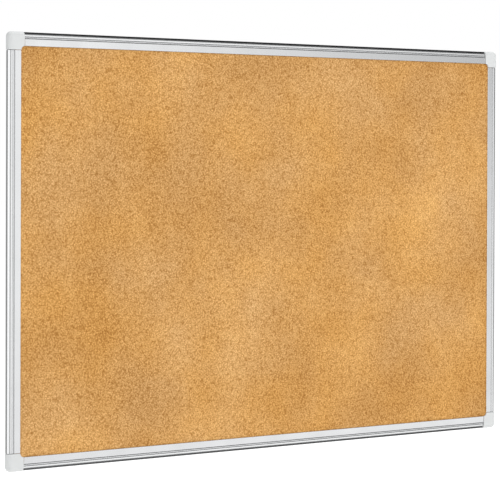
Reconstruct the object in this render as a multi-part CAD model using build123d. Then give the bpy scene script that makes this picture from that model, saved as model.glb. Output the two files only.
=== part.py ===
"""Cork bulletin board: a cork-faced panel in a four-rail aluminium frame with clip-on corner caps.

Millimetres. X runs to the right, Z up, and the cork faces -Y. The wall is the plane Y = 0 and the
origin is the centre of the four wall-fixing holes in that plane.

A piece is first described by how far it lies inward from an outer edge of the board and how far it
stands forward from the wall. Corner pieces are drawn for the top left corner and mirrored.
"""
from build123d import *
import os

# ---------------------------------------------------------------- driving dimensions
BOARD_WIDTH = 900.0          # over the corner caps
BOARD_HEIGHT = 600.0
FRAME_DEPTH = 8.5            # wall to the front of the lip
CAP_PROUD = 0.4              # how far a cap stands out past the rails' outer faces

# rail section, inward from the rail's outer face and forward from the wall
RAIL_FACE = 19.3             # outer face to the lip's inner edge
RIDGE_HEIGHT = 7.1           # the outer, lower part of the face
BAND_START = 9.8             # where the inner band steps up
BAND_START_HEIGHT = 8.0
SHOULDER_RADIUS = 4.5
REAR_RADIUS = 1.0
GROOVE_CENTRES = (6.9, 9.05)
GROOVE_WIDTH = 1.4
GROOVE_DEPTH = 0.45
LIP_EDGE_RADIUS = 0.45
RAIL_WALL = 1.1              # side wall, rear wall and web
RAIL_REAR_FLANGE = 16.0      # how far the rear flange reaches behind the panel
CHAMBER_END = 9.0
CHAMBER_HEIGHT = 5.7

# panel layers, from the wall side to the front
BACKING_THICKNESS = 0.4
CORE_THICKNESS = 3.6
CORK_THICKNESS = 2.0
PANEL_EDGE_GAP = 0.5         # panel edge to the rail's web

# corner cap
CAP_SIZE = 25.0
CAP_SEAM = 0.6               # cap to rail end
CAP_FRONT = 9.0
CAP_WALL = 1.4
CAP_SKIRT = 1.3
CAP_REAR = 0.5
CAP_CORNER_RADIUS = 7.0
CAP_OUTER_EDGE_RADIUS = 6.0  # follows the rails' round shoulder
CAP_INNER_EDGE_RADIUS = 0.5
CAP_END_WALL_REAR = 5.8
CORK_CLEARANCE = 0.2         # cap to cork face
PEG_DIAMETER = 3.0
PEG_REAR = 2.6
PEG_INSET = 17.0             # from the corner, along each arm

# corner bracket
BRACKET_TOP = 5.5
BLOCK_TOP = 2.9
BLOCK_OUTER = 1.7
BLOCK_INNER = 10.2
ARM_CLEARANCE = 0.25
ARM_REACH = 20.0             # how far an arm runs into its rail
ARM_EDGE_RADIUS = 3.3        # long outer edge, under the rail's shoulder
SOCKET_DIAMETER = 3.4
SOCKET_REAR = 1.8
FIXING_INSET = 6.0           # wall-fixing hole, from both outer edges of the board
FIXING_HOLE = 4.4

# self-tapping screws that hold each rail to its brackets, driven from the rear
SCREW_INSET = 10.0           # from the rail's end
SCREW_HEAD = 4.6
SCREW_HEAD_HEIGHT = 1.0
SCREW_SHANK = 2.7
SCREW_SINK = 0.05            # head below the rail's rear face
SCREW_LENGTH = 5.0
SCREW_POINT = 1.0
SCREW_TIP_RADIUS = 0.3
SCREW_CLEARANCE = 0.06
DRIVE_WIDTH = 0.6
DRIVE_LENGTH = 2.4
DRIVE_DEPTH = 0.7

# ---------------------------------------------------------------- derived dimensions
CORK_FACE = RAIL_WALL + BACKING_THICKNESS + CORE_THICKNESS + CORK_THICKNESS
WEB_INNER = CHAMBER_END + RAIL_WALL
RAIL_END = CAP_SIZE + CAP_SEAM                 # from the board's outer edge
PANEL_INSET = CAP_PROUD + WEB_INNER + PANEL_EDGE_GAP
CAP_FACE = CAP_PROUD + RAIL_FACE               # the cap's inner faces line up with the lips
CHAMBER_MIDDLE = (RAIL_WALL + CHAMBER_END) / 2
ARM_OUTER = CAP_PROUD + RAIL_WALL + ARM_CLEARANCE
ARM_INNER = CAP_PROUD + CHAMBER_END - ARM_CLEARANCE
ARM_MIDDLE = CAP_PROUD + CHAMBER_MIDDLE
RAIL_LENGTHS = {
    "top": BOARD_WIDTH - 2 * RAIL_END,
    "bottom": BOARD_WIDTH - 2 * RAIL_END,
    "left": BOARD_HEIGHT - 2 * RAIL_END,
    "right": BOARD_HEIGHT - 2 * RAIL_END,
}


def side_plane(side):
    """Plane of a rail's section: local X inward from the rail's outer face, local Y forward."""
    half_width = BOARD_WIDTH / 2 - CAP_PROUD
    half_height = BOARD_HEIGHT / 2 - CAP_PROUD
    places = {
        "top": ((0, 0, half_height), (0, 0, -1)),
        "bottom": ((0, 0, -half_height), (0, 0, 1)),
        "left": ((-half_width, 0, 0), (1, 0, 0)),
        "right": ((half_width, 0, 0), (-1, 0, 0)),
    }
    origin, inward = places[side]
    along = Vector(*inward).cross(Vector(0, -1, 0))
    return Plane(origin=origin, x_dir=inward, z_dir=along)


# ---------------------------------------------------------------- rails
def rail_section():
    """Section of the extruded rail: closed chamber, web, rear flange, and lip over the cork."""
    groove_1, groove_2 = GROOVE_CENTRES
    half_groove = GROOVE_WIDTH / 2
    with BuildSketch() as section:
        with BuildLine():
            start = (REAR_RADIUS, 0)
            RadiusArc(start, (0, REAR_RADIUS), REAR_RADIUS)
            Line((0, REAR_RADIUS), (0, RIDGE_HEIGHT - SHOULDER_RADIUS))
            RadiusArc((0, RIDGE_HEIGHT - SHOULDER_RADIUS), (SHOULDER_RADIUS, RIDGE_HEIGHT), SHOULDER_RADIUS)
            Line((SHOULDER_RADIUS, RIDGE_HEIGHT), (groove_1 - half_groove, RIDGE_HEIGHT))
            ThreePointArc((groove_1 - half_groove, RIDGE_HEIGHT), (groove_1, RIDGE_HEIGHT - GROOVE_DEPTH),
                          (groove_1 + half_groove, RIDGE_HEIGHT))
            Line((groove_1 + half_groove, RIDGE_HEIGHT), (groove_2 - half_groove, RIDGE_HEIGHT))
            ThreePointArc((groove_2 - half_groove, RIDGE_HEIGHT), (groove_2, RIDGE_HEIGHT - GROOVE_DEPTH),
                          (groove_2 + half_groove, RIDGE_HEIGHT))
            Polyline((groove_2 + half_groove, RIDGE_HEIGHT), (BAND_START, BAND_START_HEIGHT),
                     (RAIL_FACE, FRAME_DEPTH), (RAIL_FACE, CORK_FACE), (WEB_INNER, CORK_FACE),
                     (WEB_INNER, RAIL_WALL), (RAIL_REAR_FLANGE, RAIL_WALL), (RAIL_REAR_FLANGE, 0), start)
        make_face()
        lip_corner = section.vertices().sort_by(Axis.Y)[-1]
        fillet(lip_corner, LIP_EDGE_RADIUS)
        with BuildSketch(mode=Mode.PRIVATE) as chamber:
            with Locations((CHAMBER_MIDDLE, (RAIL_WALL + CHAMBER_HEIGHT) / 2)):
                Rectangle(CHAMBER_END - RAIL_WALL, CHAMBER_HEIGHT - RAIL_WALL)
            under_shoulder = chamber.vertices().group_by(Axis.Y)[-1].sort_by(Axis.X)[0]
            fillet(under_shoulder, SHOULDER_RADIUS - RAIL_WALL)
        add(chamber.sketch, mode=Mode.SUBTRACT)
    return section.sketch


def screw_hole():
    """Countersunk hole through a rail's rear wall, along +Z from Z = 0."""
    radius = SCREW_SHANK / 2 + SCREW_CLEARANCE
    head_radius = SCREW_HEAD / 2 + SCREW_CLEARANCE
    sunk = SCREW_SINK + SCREW_HEAD_HEIGHT
    mouth = Pos(0, 0, SCREW_SINK / 2) * Cylinder(head_radius, SCREW_SINK)
    cone = Pos(0, 0, SCREW_SINK + SCREW_HEAD_HEIGHT / 2) * Cone(head_radius, radius, SCREW_HEAD_HEIGHT)
    bore = Pos(0, 0, RAIL_WALL / 2) * Cylinder(radius, RAIL_WALL)
    return mouth + cone + bore


def screw_places(side):
    """The two screw places of a rail: at its rear face, Z pointing forward."""
    plane = side_plane(side)
    reach = RAIL_LENGTHS[side] / 2 - SCREW_INSET
    for along in (-reach, reach):
        middle = plane.from_local_coords(Vector(CHAMBER_MIDDLE, 0, along))
        yield Plane(origin=middle, x_dir=plane.z_dir, z_dir=(0, -1, 0))


def rail(side):
    """One aluminium rail, square cut at both ends."""
    bar = side_plane(side) * extrude(rail_section(), amount=RAIL_LENGTHS[side] / 2, both=True)
    for place in screw_places(side):
        bar -= place * screw_hole()
    return bar


# ---------------------------------------------------------------- panel
def panel_layer(rear, thickness):
    """A flat sheet of the panel, from its rear face forward."""
    width = BOARD_WIDTH - 2 * PANEL_INSET
    height = BOARD_HEIGHT - 2 * PANEL_INSET
    return Pos(0, -rear - thickness / 2, 0) * Box(width, thickness, height)


# ---------------------------------------------------------------- corner pieces, drawn at the top left
CORNER = Plane(origin=(-BOARD_WIDTH / 2, 0, BOARD_HEIGHT / 2), x_dir=(1, 0, 0), z_dir=(0, -1, 0))


def block(left, right, low, high, rear, front):
    """Box in corner measures: inward from the left edge, inward from the top edge, forward."""
    size = (right - left, high - low, front - rear)
    centre = ((left + right) / 2, -(low + high) / 2, (rear + front) / 2)
    return Pos(*centre) * Box(*size)


def both_ways(left, right, low, high, rear, front):
    """The same box along the top arm and along the side arm."""
    return block(left, right, low, high, rear, front) + block(low, high, left, right, rear, front)


def arms():
    """The two arms that fill the rails' chambers: the side arm is the top arm mirrored in the diagonal."""
    rear = RAIL_WALL + ARM_CLEARANCE
    arm = block(BLOCK_INNER, RAIL_END + ARM_REACH, ARM_OUTER, ARM_INNER, rear, BRACKET_TOP)
    outer_edge = arm.edges().filter_by(Axis.X).group_by(Axis.Z)[-1].sort_by(Axis.Y)[-1]
    arm = fillet(outer_edge, ARM_EDGE_RADIUS)
    return arm + mirror(arm, about=Plane(origin=(0, 0, 0), z_dir=(1, 1, 0)))


def bracket():
    """Moulded corner bracket: fixing block, two arms into the rails, and a web behind the panel."""
    body = block(BLOCK_OUTER, BLOCK_INNER, BLOCK_OUTER, BLOCK_INNER, 0, BLOCK_TOP)
    outer_corner = body.edges().filter_by(Axis.Z).sort_by(lambda edge: edge.center().X - edge.center().Y)[0]
    body = fillet(outer_corner, CAP_CORNER_RADIUS - BLOCK_OUTER)
    body += both_ways(BLOCK_INNER, CAP_SIZE, ARM_OUTER, ARM_INNER, 0, BLOCK_TOP)
    body += arms()
    body += both_ways(BLOCK_INNER, CAP_SIZE, ARM_INNER, CAP_PROUD + RAIL_REAR_FLANGE, 0, RAIL_WALL)
    body -= Pos(FIXING_INSET, -FIXING_INSET, BLOCK_TOP / 2) * Cylinder(FIXING_HOLE / 2, BLOCK_TOP)
    socket_depth = BRACKET_TOP - SOCKET_REAR
    screw_at = RAIL_END + SCREW_INSET
    for x, y in ((PEG_INSET, ARM_MIDDLE), (ARM_MIDDLE, PEG_INSET)):
        body -= Pos(x, -y, SOCKET_REAR + socket_depth / 2) * Cylinder(SOCKET_DIAMETER / 2, socket_depth)
    for x, y in ((screw_at, ARM_MIDDLE), (ARM_MIDDLE, screw_at)):
        body -= Pos(x, -y, BRACKET_TOP / 2) * Cylinder(SCREW_SHANK / 2 + SCREW_CLEARANCE, BRACKET_TOP)
    return CORNER * body


def cap_outline():
    """Cap from the front: a square with a round outer corner, cut away over the cork by a concave arc."""
    cork_radius = CAP_SIZE - CAP_FACE
    with BuildSketch() as outline:
        with BuildLine():
            Polyline((CAP_SIZE, -CAP_FACE), (CAP_SIZE, 0), (CAP_CORNER_RADIUS, 0))
            RadiusArc((CAP_CORNER_RADIUS, 0), (0, -CAP_CORNER_RADIUS), -CAP_CORNER_RADIUS)
            Polyline((0, -CAP_CORNER_RADIUS), (0, -CAP_SIZE), (CAP_FACE, -CAP_SIZE))
            RadiusArc((CAP_FACE, -CAP_SIZE), (CAP_SIZE, -CAP_FACE), cork_radius)
        make_face()
    return outline.sketch


def inside_skirts():
    """The room behind the plate and inside the two outer skirts, as far as the cap's ends and beyond.

    Its corner and its front edges are round about the same lines as the cap's own, so the wall is even.
    """
    far = 2 * CAP_SIZE
    radius = CAP_CORNER_RADIUS - CAP_SKIRT
    with BuildSketch() as inside:
        with BuildLine():
            Polyline((CAP_SKIRT + radius, -CAP_SKIRT), (far, -CAP_SKIRT), (far, -far), (CAP_SKIRT, -far),
                     (CAP_SKIRT, -CAP_SKIRT - radius))
            RadiusArc((CAP_SKIRT, -CAP_SKIRT - radius), (CAP_SKIRT + radius, -CAP_SKIRT), radius)
        make_face()
    room = Pos(0, 0, CAP_REAR) * extrude(inside.sketch, amount=CAP_FRONT - CAP_WALL - CAP_REAR)
    return fillet(outer_front_edges(room), CAP_OUTER_EDGE_RADIUS - CAP_SKIRT)


def outer_front_edges(solid):
    """Front edges of a corner solid along its two outer sides and round the corner between them."""
    front = solid.edges().group_by(Axis.Z)[-1]
    return [edge for edge in front if min(edge.center().X, -edge.center().Y) < CAP_CORNER_RADIUS / 2]


def cap():
    """Snap-on corner cap: front plate, outer skirts, rim over the cork, end walls and two pegs."""
    outline = cap_outline()
    plate_rear = CAP_FRONT - CAP_WALL
    shell = Pos(0, 0, CAP_REAR) * extrude(outline, amount=CAP_FRONT - CAP_REAR)
    shell = fillet(outer_front_edges(shell), CAP_OUTER_EDGE_RADIUS)
    inner = [edge for edge in shell.edges().group_by(Axis.Z)[-1]
             if max(edge.center().X, -edge.center().Y) > CAP_FACE]
    shell = fillet(inner, CAP_INNER_EDGE_RADIUS)
    # hollow between the skirts and the end walls, then open to the rear, to both rails and over the panel
    room = inside_skirts()
    between_walls = offset(outline, amount=-CAP_SKIRT, kind=Kind.INTERSECTION)
    shell -= room & extrude(between_walls, amount=CAP_FRONT)
    shell -= room & block(0, CAP_SIZE, 0, CAP_SIZE, 0, CAP_END_WALL_REAR)
    panel_edge = PANEL_INSET - PANEL_EDGE_GAP
    shell -= block(panel_edge, CAP_SIZE, panel_edge, CAP_SIZE, CAP_REAR, CORK_FACE + CORK_CLEARANCE)
    for x, y in ((PEG_INSET, ARM_MIDDLE), (ARM_MIDDLE, PEG_INSET)):
        shell += Pos(x, -y, (PEG_REAR + plate_rear) / 2) * Cylinder(PEG_DIAMETER / 2, plate_rear - PEG_REAR)
    return CORNER * shell


def rail_screw():
    """Countersunk self-tapping screw along +Z, head at the rear, with a cross recess."""
    shank = SCREW_LENGTH - SCREW_HEAD_HEIGHT - SCREW_POINT
    head = Pos(0, 0, SCREW_HEAD_HEIGHT / 2) * Cone(SCREW_HEAD / 2, SCREW_SHANK / 2, SCREW_HEAD_HEIGHT)
    body = Pos(0, 0, SCREW_HEAD_HEIGHT + shank / 2) * Cylinder(SCREW_SHANK / 2, shank)
    point = Pos(0, 0, SCREW_LENGTH - SCREW_POINT / 2) * Cone(SCREW_SHANK / 2, SCREW_TIP_RADIUS, SCREW_POINT)
    screw = head + body + point
    for turn in (0, 90):
        slot = Box(DRIVE_LENGTH, DRIVE_WIDTH, 2 * DRIVE_DEPTH)
        screw -= Rot(0, 0, turn) * slot
    return Pos(0, 0, SCREW_SINK) * screw


def at_corner(piece, corner):
    """A top left piece carried to another corner: mirrored to a near one, half turned to the far one."""
    if corner == "top_right":
        return mirror(piece, about=Plane.YZ)
    if corner == "bottom_left":
        return mirror(piece, about=Plane.XY)
    if corner == "bottom_right":
        return Rot(0, 180, 0) * piece
    return piece


# ---------------------------------------------------------------- build
nodes = {}
for side in RAIL_LENGTHS:
    nodes[f"rail_{side}"] = rail(side)

nodes["backing_sheet"] = panel_layer(RAIL_WALL, BACKING_THICKNESS)
nodes["softboard_core"] = panel_layer(RAIL_WALL + BACKING_THICKNESS, CORE_THICKNESS)
nodes["cork_sheet"] = panel_layer(CORK_FACE - CORK_THICKNESS, CORK_THICKNESS)

first_bracket = bracket()
first_cap = cap()
for corner in ("top_left", "top_right", "bottom_left", "bottom_right"):
    nodes[f"corner_bracket_{corner}"] = at_corner(first_bracket, corner)
    nodes[f"corner_cap_{corner}"] = at_corner(first_cap, corner)

screw = rail_screw()
ENDS = {"top": ("right", "left"), "bottom": ("left", "right"), "left": ("top", "bottom"),
        "right": ("bottom", "top")}
for side in RAIL_LENGTHS:
    for place, end in zip(screw_places(side), ENDS[side]):
        nodes[f"screw_{side}_rail_{end}_end"] = place * screw

os.makedirs("parts", exist_ok=True)
for name, solid in nodes.items():
    export_step(solid, f"parts/{name}.step")
    box = solid.bounding_box()
    print(f"{name:30s} volume {solid.volume:12.1f} mm3   size {box.size.X:.2f} x {box.size.Y:.2f} x {box.size.Z:.2f}")
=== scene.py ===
"""Looks of a wall-hung cork bulletin board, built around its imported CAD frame.

Metres, +X to the right, +Z up, the cork facing -Y. The file follows the order of assembly: the
aluminium rails, the brackets and screws that join them, the layers of the panel from the rear to the
cork, and the caps that close the corners. The studio and the camera come last. Sizes of patterns are
in millimetres, because that is what their coordinates are in.
"""
import math
import bpy
import numpy as np
from mathutils import Matrix, Vector


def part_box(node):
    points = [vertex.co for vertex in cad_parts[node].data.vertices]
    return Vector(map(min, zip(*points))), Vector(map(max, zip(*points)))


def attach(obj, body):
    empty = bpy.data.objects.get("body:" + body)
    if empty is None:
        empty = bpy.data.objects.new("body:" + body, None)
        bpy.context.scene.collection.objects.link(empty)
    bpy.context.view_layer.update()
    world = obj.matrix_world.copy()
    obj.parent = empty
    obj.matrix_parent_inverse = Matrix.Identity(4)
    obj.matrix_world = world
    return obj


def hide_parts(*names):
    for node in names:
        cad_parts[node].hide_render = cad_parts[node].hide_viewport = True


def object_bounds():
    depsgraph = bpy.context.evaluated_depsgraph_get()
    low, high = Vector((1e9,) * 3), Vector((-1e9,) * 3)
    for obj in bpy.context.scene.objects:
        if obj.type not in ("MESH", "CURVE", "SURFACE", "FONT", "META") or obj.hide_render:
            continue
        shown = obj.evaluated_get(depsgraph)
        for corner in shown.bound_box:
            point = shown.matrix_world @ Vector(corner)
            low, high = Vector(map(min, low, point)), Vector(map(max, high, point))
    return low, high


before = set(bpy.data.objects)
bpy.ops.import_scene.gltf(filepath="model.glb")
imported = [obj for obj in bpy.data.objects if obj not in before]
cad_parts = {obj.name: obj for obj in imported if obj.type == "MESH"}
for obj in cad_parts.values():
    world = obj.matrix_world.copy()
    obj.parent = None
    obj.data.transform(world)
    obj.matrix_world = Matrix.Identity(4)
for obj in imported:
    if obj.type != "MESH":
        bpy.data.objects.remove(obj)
cad_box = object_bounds()
MM = 0.001
CORNERS = ("top_left", "top_right", "bottom_left", "bottom_right")

# ------------------------------------------------------------------------------------------------
# Rails. Extruded 6063 aluminium, satin silver anodised: bright and slightly soft in reflection, with
# very fine die lines along the bar. Four square-cut lengths of one section, slid over the panel.

DIE_LINE = 0.9            # mm between die lines; the real ones are 0.1 to 0.3 mm and would not show
DIE_LINE_LENGTH = 900.0   # mm along the bar before a line changes
DIE_LINE_DEPTH = 0.02 * MM
HAZE = 40.0               # mm across the patches where the anodising is a little softer
SATIN = (0.20, 0.24)      # roughness of the clearest and the haziest patch
GROOVE_PAINTED_SHADE = ((6.9, 0.25), (9.05, 0.48))     # mm from the outer face, and how dark the painted shade in that groove is
GROOVE_SHADE_HALF = 0.85        # mm from the middle of a groove to the end of its painted shade


def linear(hex_colour):
    """Linear RGBA of an sRGB hex colour: c/12.92 below 0.04045, ((c + 0.055)/1.055)^2.4 above."""
    c = np.array([int(hex_colour[i:i + 2], 16) for i in (0, 2, 4)]) / 255
    return (*np.where(c <= 0.04045, c / 12.92, ((c + 0.055) / 1.055) ** 2.4), 1.0)


def add(tree, kind, inputs=None, stops=(), **settings):
    """A node of that kind. Inputs are values, or outputs to link from, settings are the node's own
    fields, and stops are the positions and linear colours of a ramp."""
    made = tree.nodes.new("ShaderNode" + kind)
    for field, value in settings.items():
        setattr(made, field, value)
    for socket, value in (inputs or {}).items():
        if isinstance(value, bpy.types.NodeSocket):
            tree.links.new(value, made.inputs[socket])
        else:
            made.inputs[socket].default_value = value
    if stops:
        elements = made.color_ramp.elements
        while len(elements) < len(stops):
            elements.new(0.5)
        for element, (position, colour) in zip(elements, stops):
            element.position = position
            element.color = colour
    return made


def finish_named(name):
    """A new material with an empty node tree, and its coordinates in millimetres of the piece's own
    frame."""
    material = bpy.data.materials.new(name)
    material.use_nodes = True
    tree = material.node_tree
    tree.nodes.clear()
    place = add(tree, "TexCoord").outputs["Object"]
    millimetres = add(tree, "Mapping", {"Vector": place, "Scale": (1 / MM,) * 3}).outputs["Vector"]
    return material, tree, millimetres


def surface(tree, **inputs):
    """The principled shader with these inputs, wired to the material's output."""
    named = {name.replace("_", " "): value for name, value in inputs.items()}
    shader = add(tree, "BsdfPrincipled", named)
    add(tree, "OutputMaterial", {"Surface": shader.outputs["BSDF"]})


def coat_node(node, material):
    """Puts a material on every slot of a CAD node, and leaves its mesh alone."""
    for material_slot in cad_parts[node].material_slots:
        material_slot.material = material


def anodised_aluminium(name, along):
    """Satin anodised extrusion, with its bar along axis 0 or 2. Noise drawn out along the bar gives the
    die lines. The two grooves get a painted shade of darker grey in the base colour, with weight
    1 - (d/h)^2 at a distance d from the groove's middle, where h is half the width of the painted shade."""
    material, tree, mm = finish_named(name)
    squeeze = [1 / DIE_LINE] * 3
    squeeze[along] = 1 / DIE_LINE_LENGTH
    drawn_out = add(tree, "Mapping", {"Vector": mm, "Scale": squeeze}).outputs["Vector"]
    lines = add(tree, "TexNoise", {"Vector": drawn_out, "Scale": 1.0, "Detail": 3.0, "Roughness": 0.6})
    haze = add(tree, "TexNoise", {"Vector": mm, "Scale": 1 / HAZE, "Detail": 2.0})
    rough = add(tree, "MapRange", {"Value": haze.outputs["Fac"], "From Min": 0.3, "From Max": 0.7,
                                   "To Min": SATIN[0], "To Max": SATIN[1]})
    tone = add(tree, "Mix", {"Factor": lines.outputs["Fac"], "A": linear("E9EAEB"), "B": linear("F0F1F2")},
               data_type="RGBA")
    outer_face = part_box("rail_right")[1].x if along == 2 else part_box("rail_top")[1].z
    side = add(tree, "SeparateXYZ", {"Vector": mm}).outputs["X" if along == 2 else "Z"]
    side = add(tree, "Math", {0: side}, operation="ABSOLUTE").outputs["Value"]
    inset = add(tree, "Math", {0: outer_face / MM, 1: side}, operation="SUBTRACT").outputs["Value"]
    # painted shade: along each groove the base colour is mixed towards dark grey 3C3D3F, for the shade
    # inside the narrow groove
    for centre, shade_darkness in GROOVE_PAINTED_SHADE:
        offset = add(tree, "Math", {0: inset, 1: centre}, operation="SUBTRACT").outputs["Value"]
        square = add(tree, "Math", {0: offset, 1: offset}, operation="MULTIPLY").outputs["Value"]
        weight = add(tree, "MapRange", {"Value": square, "From Min": 0.0, "From Max": GROOVE_SHADE_HALF ** 2,
                                        "To Min": shade_darkness, "To Max": 0.0})
        tone = add(tree, "Mix", {"Factor": weight.outputs["Result"], "A": tone.outputs["Result"],
                                 "B": linear("3C3D3F")}, data_type="RGBA")
    relief = add(tree, "Bump", {"Height": lines.outputs["Fac"], "Strength": 0.25,
                                "Distance": DIE_LINE_DEPTH})
    surface(tree, Base_Color=tone.outputs["Result"], Metallic=1.0, Roughness=rough.outputs["Result"],
            Normal=relief.outputs["Normal"])
    return material


for sides, along, name in ((("top", "bottom"), 0, "satin_anodised_aluminium_across"),
                           (("left", "right"), 2, "satin_anodised_aluminium_upright")):
    anodised = anodised_aluminium(name, along)
    for side in sides:
        coat_node(f"rail_{side}", anodised)

# ------------------------------------------------------------------------------------------------
# Corner brackets. Injection-moulded glass-filled nylon, dark grey and matt, with the faint swirl of
# short fibres at the surface. Their arms push into the rails' hollow chambers.

SWIRL = 3.0               # mm across the swirls of the melt
SHORT_FIBRE = 0.35        # mm between the fibres that show at the surface
SHORT_FIBRE_RELIEF = 0.05 * MM

material, tree, mm = finish_named("moulded_glass_filled_nylon")
swirl = add(tree, "TexNoise", {"Vector": mm, "Scale": 1 / SWIRL, "Detail": 4.0, "Distortion": 1.2})
tone = add(tree, "Mix", {"Factor": swirl.outputs["Fac"], "A": linear("34363A"), "B": linear("46484C")},
           data_type="RGBA")
fibres = add(tree, "TexNoise", {"Vector": mm, "Scale": 1 / SHORT_FIBRE, "Detail": 2.0})
relief = add(tree, "Bump", {"Height": fibres.outputs["Fac"], "Strength": 0.35,
                            "Distance": SHORT_FIBRE_RELIEF})
surface(tree, Base_Color=tone.outputs["Result"], Roughness=0.58, IOR=1.53, Normal=relief.outputs["Normal"])
for corner in CORNERS:
    coat_node(f"corner_bracket_{corner}", material)

# ------------------------------------------------------------------------------------------------
# Rail screws. Small countersunk self-tappers in zinc-plated steel: a cool bright plate with a little
# yellow and blue in it. Driven from the rear through each rail end into a bracket arm.

PLATE_TINT = 1.5          # mm across the yellower and the bluer patches of the plate

material, tree, mm = finish_named("zinc_plated_steel")
plate = add(tree, "TexNoise", {"Vector": mm, "Scale": 1 / PLATE_TINT, "Detail": 2.0})
tone = add(tree, "Mix", {"Factor": plate.outputs["Fac"], "A": linear("C9C8BC"), "B": linear("C3CAD2")},
           data_type="RGBA")
surface(tree, Base_Color=tone.outputs["Result"], Metallic=1.0, Roughness=0.32)
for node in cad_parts:
    if node.startswith("screw_"):
        coat_node(node, material)

# ------------------------------------------------------------------------------------------------
# Backing sheet. Brown kraft paper glued over the rear of the core against damp. Paper glued to board
# cockles a little as it dries, so its rear face isn't quite flat.

COCKLE = 0.06 * MM        # standard deviation of the cockles' height
COCKLE_LIMIT = 0.15 * MM
COCKLE_WAVE = 45 * MM
PAPER_CELL = 5 * MM
PAPER_HELD = 8 * MM       # in from the rim, where the rails hold the paper flat
PAPER_FADE = 30 * MM      # from there to the full height of the cockles
PULP = 6.0                # mm across the clouds in the pulp
FIBRES = (5.0, 1.0, 0.8)  # mm along, through and across the bundles; single fibres would not show
FIBRE_SLANT = 0.06        # radians
FIBRE_RELIEF = 0.05 * MM


def grid_over(node, cell):
    """Columns and rows of points in a grid of about that cell over the broad face of a CAD node."""
    low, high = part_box(node)
    return (int(round(side / cell)) + 1 for side in (high.x - low.x, high.z - low.z))


def clear_of_rails(columns, rows, cell, held, fade):
    """A weight for every grid point: 0 up to the held distance from the nearest rim, and from there a
    straight rise to 1 over the fade distance."""
    inset_x = np.minimum(np.arange(columns), np.arange(columns)[::-1]) * cell
    inset_z = np.minimum(np.arange(rows), np.arange(rows)[::-1]) * cell
    return np.clip((np.minimum(inset_x[None, :], inset_z[:, None]) - held) / fade, 0, 1)


def smooth_field(rows, columns, cell, wave, seed):
    """Random heights with a standard deviation of 1: white noise whose spectrum is multiplied by a
    Gaussian, exp(-(pi f w)^2 / 2), so that features are about w = wave wide on a grid of that cell."""
    noise = np.random.default_rng(seed).standard_normal((rows, columns))
    fy = np.fft.fftfreq(rows, cell)[:, None]
    fx = np.fft.rfftfreq(columns, cell)[None, :]
    spectrum = np.fft.rfft2(noise) * np.exp(-(math.pi * wave) ** 2 * (fx ** 2 + fy ** 2) / 2)
    field = np.fft.irfft2(spectrum, s=(rows, columns))
    return (field - field.mean()) / field.std()


def relief_panel(name, node, columns, rows, facing, height):
    """A flat panel in the place of a CAD node, with relief on one face. The face is a grid whose point
    (i, j) stands height[j, i] out along Y. The other face is a fan from its centre, and a band of quads
    joins the two round the edge, so the panel is closed."""
    low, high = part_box(node)
    x, z = np.meshgrid(np.linspace(low.x, high.x, columns), np.linspace(low.z, high.z, rows))
    front = high.y if facing > 0 else low.y
    rear = low.y if facing > 0 else high.y
    face = np.stack([x, front + facing * height, z], axis=-1).reshape(-1, 3)
    index = np.arange(rows * columns).reshape(rows, columns)
    rim = np.concatenate([index[0, :-1], index[:-1, -1], index[-1, :0:-1], index[:0:-1, 0]])
    back = face[rim].copy()
    back[:, 1] = rear
    centre = np.array([[(low.x + high.x) / 2, rear, (low.z + high.z) / 2]])
    points = np.concatenate([face, back, centre])
    behind = len(face) + np.arange(len(rim))
    cells = [index[:-1, :-1], index[:-1, 1:], index[1:, 1:], index[1:, :-1]]
    grid = np.stack(cells, axis=-1).reshape(-1, 4)
    band = np.stack([np.roll(rim, -1), rim, behind, np.roll(behind, -1)], axis=-1)
    fan = np.stack([np.roll(behind, -1), behind, np.full(len(rim), len(points) - 1)], axis=-1)
    if facing > 0:
        grid, band, fan = grid[:, ::-1], band[:, ::-1], fan[:, ::-1]
    mesh = bpy.data.meshes.new(name)
    mesh.from_pydata(points, [], grid.tolist() + band.tolist() + fan.tolist())
    mesh.polygons.foreach_set("use_smooth", np.arange(len(mesh.polygons)) < len(grid))
    mesh.update()
    piece = bpy.data.objects.new(name, mesh)
    bpy.context.collection.objects.link(piece)
    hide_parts(node)
    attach(piece, "board")
    return piece


columns, rows = grid_over("backing_sheet", PAPER_CELL)
cockle = COCKLE * smooth_field(rows, columns, PAPER_CELL, COCKLE_WAVE, seed=11)
cockle = np.clip(cockle, -COCKLE_LIMIT, COCKLE_LIMIT)
cockle = cockle * clear_of_rails(columns, rows, PAPER_CELL, PAPER_HELD, PAPER_FADE)
paper = relief_panel("backing_sheet_paper", "backing_sheet", columns, rows, 1, cockle)

material, tree, mm = finish_named("brown_kraft_paper")
pulp = add(tree, "TexNoise", {"Vector": mm, "Scale": 1 / PULP, "Detail": 6.0, "Roughness": 0.65})
tone = add(tree, "Mix", {"Factor": pulp.outputs["Fac"], "A": linear("A58560"), "B": linear("BC9D75")},
           data_type="RGBA")
drawn_out = add(tree, "Mapping", {"Vector": mm, "Scale": [1 / size for size in FIBRES],
                                  "Rotation": (0, FIBRE_SLANT, 0)})
fibres = add(tree, "TexNoise", {"Vector": drawn_out.outputs["Vector"], "Scale": 1.0, "Detail": 5.0,
                                "Roughness": 0.7})
dark = add(tree, "MapRange", {"Value": fibres.outputs["Fac"], "From Min": 0.52, "From Max": 0.72,
                              "To Min": 0.0, "To Max": 0.35})
tone = add(tree, "Mix", {"Factor": dark.outputs["Result"], "A": tone.outputs["Result"],
                         "B": linear("7F6142")}, data_type="RGBA")
relief = add(tree, "Bump", {"Height": fibres.outputs["Fac"], "Strength": 0.3, "Distance": FIBRE_RELIEF})
surface(tree, Base_Color=tone.outputs["Result"], Roughness=0.82, IOR=1.45, Normal=relief.outputs["Normal"])
paper.data.materials.append(material)

# ------------------------------------------------------------------------------------------------
# Softboard core. Pressed wood fibre, light brown and felted, which holds the pins. It is closed in
# between the paper, the cork and the rails.

FELT = 1.2                # mm across the tufts of fibre
FELT_RELIEF = 0.2 * MM

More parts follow.
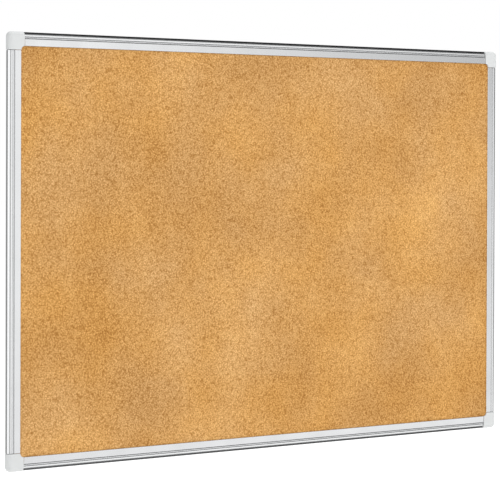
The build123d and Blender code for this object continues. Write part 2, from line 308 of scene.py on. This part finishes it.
material, tree, mm = finish_named("pressed_wood_fibre_softboard")
felt = add(tree, "TexNoise", {"Vector": mm, "Scale": 1 / FELT, "Detail": 6.0, "Roughness": 0.7,
                              "Distortion": 0.8})
tone = add(tree, "Mix", {"Factor": felt.outputs["Fac"], "A": linear("86683F"), "B": linear("B89970")},
           data_type="RGBA")
relief = add(tree, "Bump", {"Height": felt.outputs["Fac"], "Strength": 0.6, "Distance": FELT_RELIEF})
surface(tree, Base_Color=tone.outputs["Result"], Roughness=0.95, Normal=relief.outputs["Normal"])
coat_node("softboard_core", material)

# ------------------------------------------------------------------------------------------------
# Cork sheet. Fine-grain agglomerated cork, granules of up to about two millimetres pressed with a
# binder and sanded flat: warm tan, quite matt, with light and dark grains and a soft cloudy tone.

CORK_CELL = 2.35 * MM
SANDED_GRAIN = 0.025 * MM              # standard deviation of the sanded face
SANDED_WAVE = 0.9 * CORK_CELL          # about the finest that the grid can hold
SHEET_SWELL = 0.06 * MM                # standard deviation of the sheet's slow swell
SHEET_WAVE = 70 * MM
SHEET_LIMIT = 0.25 * MM
LIP_PRESS = 0.06 * MM                  # how far the rails' lips press the sheet in
CORK_HELD = 11 * MM                    # in from the rim, where they press it
CORK_FADE = 25 * MM                    # from there to the free sheet

columns, rows = grid_over("cork_sheet", CORK_CELL)
swell = SHEET_SWELL * smooth_field(rows, columns, CORK_CELL, SHEET_WAVE, seed=3)
grain = SANDED_GRAIN * smooth_field(rows, columns, CORK_CELL, SANDED_WAVE, seed=5)
free = clear_of_rails(columns, rows, CORK_CELL, CORK_HELD, CORK_FADE)
height = np.clip(swell * free + grain, -SHEET_LIMIT, SHEET_LIMIT) - LIP_PRESS * (1 - free)
cork = relief_panel("cork_sheet_granules", "cork_sheet", columns, rows, -1, height)

GRANULE = 2.3             # mm across the pressed granules, darker where they meet
GRAIN = 1.25              # mm across the lighter and darker grains in them
CRUMB = 0.6               # mm across the finest crumbs
CLOUD = 190.0             # mm across the soft clouds of tone
BATCH = 150.0             # mm across the areas of warmer and greyer cork
ANOTHER_PLACE = (700.0, 0.0, 300.0)    # mm, so that the batches don't follow the clouds
DARKEST, LIGHTEST = -0.455, 0.945      # the lightness that takes the first and the last colour
CORK_COLOURS = ("78440A", "9C6A2E", "C09054", "E2B478", "FAD69B")
WARMER = (1.02, 0.98, 0.80, 1.0)       # what the two kinds of batch multiply the colour by
GREYER = (0.98, 1.01, 1.08, 1.0)
CORK_RELIEF = 0.12 * MM

material, tree, mm = finish_named("fine_agglomerated_cork")
granules, grains, crumbs = (
    add(tree, "TexVoronoi", {"Vector": mm, "Scale": 1 / size, "Randomness": 1.0}).outputs
    for size in (GRANULE, GRAIN, CRUMB))
grain_tone = add(tree, "SeparateColor", {"Color": grains["Color"]}).outputs["Red"]
crumb_tone = add(tree, "SeparateColor", {"Color": crumbs["Color"]}).outputs["Red"]
cloud = add(tree, "TexNoise", {"Vector": mm, "Scale": 1 / CLOUD, "Detail": 3.0, "Roughness": 0.6})
# the lightness is a weighted sum, in which the distance from a granule's middle takes light away
lightness = 0.0
for pattern, weight in ((grain_tone, 0.27), (crumb_tone, 0.25), (granules["Distance"], -0.64),
                        (cloud.outputs["Fac"], 0.56)):
    lightness = add(tree, "Math", {0: pattern, 1: weight, 2: lightness},
                    operation="MULTIPLY_ADD").outputs["Value"]
level = add(tree, "MapRange", {"Value": lightness, "From Min": DARKEST, "From Max": LIGHTEST})
last = len(CORK_COLOURS) - 1
tone = add(tree, "ValToRGB", {"Fac": level.outputs["Result"]},
           stops=[(index / last, linear(colour)) for index, colour in enumerate(CORK_COLOURS)])
# batches of bark differ a little: some areas are warmer and browner, others paler and greyer
elsewhere = add(tree, "Mapping", {"Vector": mm, "Location": ANOTHER_PLACE}).outputs["Vector"]
batch = add(tree, "TexNoise", {"Vector": elsewhere, "Scale": 1 / BATCH, "Detail": 2.0, "Roughness": 0.55})
greyness = add(tree, "MapRange", {"Value": batch.outputs["Fac"], "From Min": 0.35, "From Max": 0.65})
cast = add(tree, "Mix", {"Factor": greyness.outputs["Result"], "A": WARMER, "B": GREYER}, data_type="RGBA")
tone = add(tree, "Mix", {"Factor": 1.0, "A": tone.outputs["Color"], "B": cast.outputs["Result"]},
           data_type="RGBA", blend_type="MULTIPLY")
bumpy = add(tree, "Math", {0: granules["Distance"], 1: crumbs["Distance"]}, operation="ADD")
relief = add(tree, "Bump", {"Height": bumpy.outputs["Value"], "Strength": 0.5, "Distance": CORK_RELIEF},
             invert=True)
surface(tree, Base_Color=tone.outputs["Result"], Roughness=0.88, IOR=1.4, Normal=relief.outputs["Normal"])
cork.data.materials.append(material)

# ------------------------------------------------------------------------------------------------
# Corner caps. Moulded ABS in light grey with a fine satin texture. Each presses over its bracket with
# two pegs and hides the wall screw, and pulls straight off towards the front.

MOULD_TEXTURE = 0.5       # mm across the texture; the real one is about 0.1 mm and would not show
MOULD_RELIEF = 0.03 * MM

material, tree, mm = finish_named("moulded_abs_light_grey")
texture = add(tree, "TexNoise", {"Vector": mm, "Scale": 1 / MOULD_TEXTURE, "Detail": 3.0,
                                 "Roughness": 0.6})
relief = add(tree, "Bump", {"Height": texture.outputs["Fac"], "Strength": 0.25, "Distance": MOULD_RELIEF})
tone = add(tree, "Mix", {"Factor": texture.outputs["Fac"], "A": linear("C5C7C7"), "B": linear("CDCFCF")},
           data_type="RGBA")
surface(tree, Base_Color=tone.outputs["Result"], Roughness=0.42, IOR=1.54, Normal=relief.outputs["Normal"])
for corner in CORNERS:
    coat_node(f"corner_cap_{corner}", material)

# ------------------------------------------------------------------------------------------------
# Studio. A white floor that glows a little below the hung board, and two large soft lamps. The world
# is white to the camera and pale grey to matt pieces. To the shiny bars it is a room, with lit walls
# that end overhead and underfoot, and a lit floor behind the board.

FLOOR_DROP = 0.35         # m below the board
FLOOR_SIZE = 60.0         # m
FLOOR_WHITE = (0.95, 0.95, 0.95, 1.0)
WHITE = (1.0, 1.0, 1.0, 1.0)

bpy.ops.mesh.primitive_plane_add(size=FLOOR_SIZE, location=(0, 0, cad_box[0].z - FLOOR_DROP))
floor = bpy.context.object
floor.name = "studio_floor"
floor.visible_glossy = False
material, tree = finish_named("white_painted_floor")[:2]
surface(tree, Base_Color=FLOOR_WHITE, Roughness=0.9, Specular_IOR_Level=0.0, Emission_Color=WHITE,
        Emission_Strength=0.25)
floor.data.materials.append(material)

# Heights in the room are the Z of the direction looked in, from -1 straight down to 1 straight up.
WALL = 1.28               # brightness of the lit walls
OVERHEAD = 0.12           # brightness above them
UNDERFOOT = 0.16          # share of the walls' brightness that is left below them
WALL_TOP_LEFT = 0.32      # height of the walls' upper edge, which comes down from this
WALL_TOP_RIGHT = 0.04     # to this
WALL_TOP_TURN = (30, 43)  # between these bearings, in degrees
WALL_TOP_BLUR = (-0.15, 0.24)          # height above that edge, from the lit wall to the dark
WALL_FOOT_BLUR = (-0.45, -0.14)        # height, from the dark to the lit wall
FLOOR_BEHIND = (0.7, 0.7, 0.7, 1.0)
FLOOR_FROM = (0.05, 0.35)              # how far the direction points to the rear, along Y
FLOOR_BELOW = (-0.20, -0.32)           # height, from no floor to the lit floor
MATT_LIGHT = (0.80, 0.80, 0.80, 1.0)   # the light from all round on matt pieces
# bearing in degrees from straight in front of the cork, positive to +X, and how bright the wall is
ROUND_THE_ROOM = ((-180, 0.24), (-104, 0.24), (-90, 0.95), (-28, 0.95), (-12, 0.38), (12, 0.38),
                  (24, 0.80), (31, 0.93), (43, 0.90), (49, 0.82), (56, 0.35), (64, 0.10), (125, 0.08),
                  (180, 0.24))

world = bpy.data.worlds.new("white_studio")
bpy.context.scene.world = world
world.use_nodes = True
tree = world.node_tree
tree.nodes.clear()
direction = add(tree, "SeparateXYZ", {"Vector": add(tree, "TexCoord").outputs["Generated"]}).outputs
forward = add(tree, "Math", {0: direction["Y"], 1: -1.0}, operation="MULTIPLY").outputs["Value"]
bearing = add(tree, "Math", {0: direction["X"], 1: forward}, operation="ARCTAN2").outputs["Value"]
turned = add(tree, "MapRange", {"Value": bearing, "From Min": -math.pi, "From Max": math.pi})
room = add(tree, "ValToRGB", {"Fac": turned.outputs["Result"]},
           stops=[((degrees + 180) / 360, (grey, grey, grey, 1.0)) for degrees, grey in ROUND_THE_ROOM])
edge = add(tree, "MapRange", {"Value": bearing, "From Min": math.radians(WALL_TOP_TURN[0]),
                              "From Max": math.radians(WALL_TOP_TURN[1]),
                              "To Min": WALL_TOP_LEFT, "To Max": WALL_TOP_RIGHT})
above = add(tree, "Math", {0: direction["Z"], 1: edge.outputs["Result"]}, operation="SUBTRACT")
wall_top = add(tree, "MapRange", {"Value": above.outputs["Value"], "From Min": WALL_TOP_BLUR[0],
                                  "From Max": WALL_TOP_BLUR[1], "To Min": WALL, "To Max": OVERHEAD},
               interpolation_type="SMOOTHSTEP")
wall_foot = add(tree, "MapRange", {"Value": direction["Z"], "From Min": WALL_FOOT_BLUR[0],
                                   "From Max": WALL_FOOT_BLUR[1], "To Min": UNDERFOOT, "To Max": 1.0},
                interpolation_type="SMOOTHSTEP")
wall = add(tree, "Math", {0: wall_top.outputs["Result"], 1: wall_foot.outputs["Result"]},
           operation="MULTIPLY")
room = add(tree, "Mix", {"Factor": 1.0, "A": room.outputs["Color"], "B": wall.outputs["Value"]},
           data_type="RGBA", blend_type="MULTIPLY")
behind = add(tree, "MapRange", {"Value": direction["Y"], "From Min": FLOOR_FROM[0],
                                "From Max": FLOOR_FROM[1]}, interpolation_type="SMOOTHSTEP")
low_down = add(tree, "MapRange", {"Value": direction["Z"], "From Min": FLOOR_BELOW[0],
                                  "From Max": FLOOR_BELOW[1]}, interpolation_type="SMOOTHSTEP")
floor_seen = add(tree, "Math", {0: behind.outputs["Result"], 1: low_down.outputs["Result"]},
                 operation="MULTIPLY")
room = add(tree, "Mix", {"Factor": floor_seen.outputs["Value"], "A": room.outputs["Result"],
                         "B": FLOOR_BEHIND}, data_type="RGBA")
rays = add(tree, "LightPath").outputs
lit = add(tree, "Mix", {"Factor": rays["Is Glossy Ray"], "A": MATT_LIGHT, "B": room.outputs["Result"]},
          data_type="RGBA")
seen = add(tree, "Mix", {"Factor": rays["Is Camera Ray"], "A": lit.outputs["Result"], "B": WHITE},
           data_type="RGBA")
sky = add(tree, "Background", {"Color": seen.outputs["Result"], "Strength": 1.0})
add(tree, "OutputWorld", {"Surface": sky.outputs["Background"]})


def soft_lamp(name, place, size, watts):
    """A square soft lamp that faces the board's centre. The bars don't mirror it."""
    lamp = bpy.data.lights.new(name, "AREA")
    lamp.shape = "SQUARE"
    lamp.size = size
    lamp.energy = watts
    holder = bpy.data.objects.new(name, lamp)
    bpy.context.collection.objects.link(holder)
    holder.location = place
    holder.rotation_euler = (-Vector(place)).to_track_quat("-Z", "Y").to_euler()
    holder.visible_glossy = False


soft_lamp("key_lamp", place=(0.4, -2.4, 2.0), size=2.0, watts=31.0)
soft_lamp("overhead_lamp", place=(0.6, 1.0, 4.0), size=4.0, watts=120.0)

bpy.context.scene.view_settings.view_transform = "Standard"

# ------------------------------------------------------------------------------------------------
# Camera. It stands to the left of the board and a little above its middle, nearly level, with a long
# lens that is shifted down rather than tilted, so that the uprights stay upright.

CAMERA_PLACE = (-1.9948, -2.6247, 0.1269)
CAMERA_TURN = 36.745      # degrees to the right of straight ahead
CAMERA_DIP = 0.6          # degrees below level
CAMERA_ROLL = 0.215       # degrees
LENS = 160.43             # mm, on a 36 mm sensor
LENS_SHIFT = -0.1343      # upwards, as a share of the sensor's width

camera_data = bpy.data.cameras.new("camera")
camera_data.lens = LENS
camera_data.shift_y = LENS_SHIFT
camera = bpy.data.objects.new("camera", camera_data)
bpy.context.collection.objects.link(camera)
turn = Matrix.Rotation(-math.radians(CAMERA_TURN), 4, "Z")
dip = Matrix.Rotation(math.radians(90 - CAMERA_DIP), 4, "X")
roll = Matrix.Rotation(math.radians(CAMERA_ROLL), 4, "Z")
camera.matrix_world = Matrix.Translation(CAMERA_PLACE) @ turn @ dip @ roll
bpy.context.scene.camera = camera
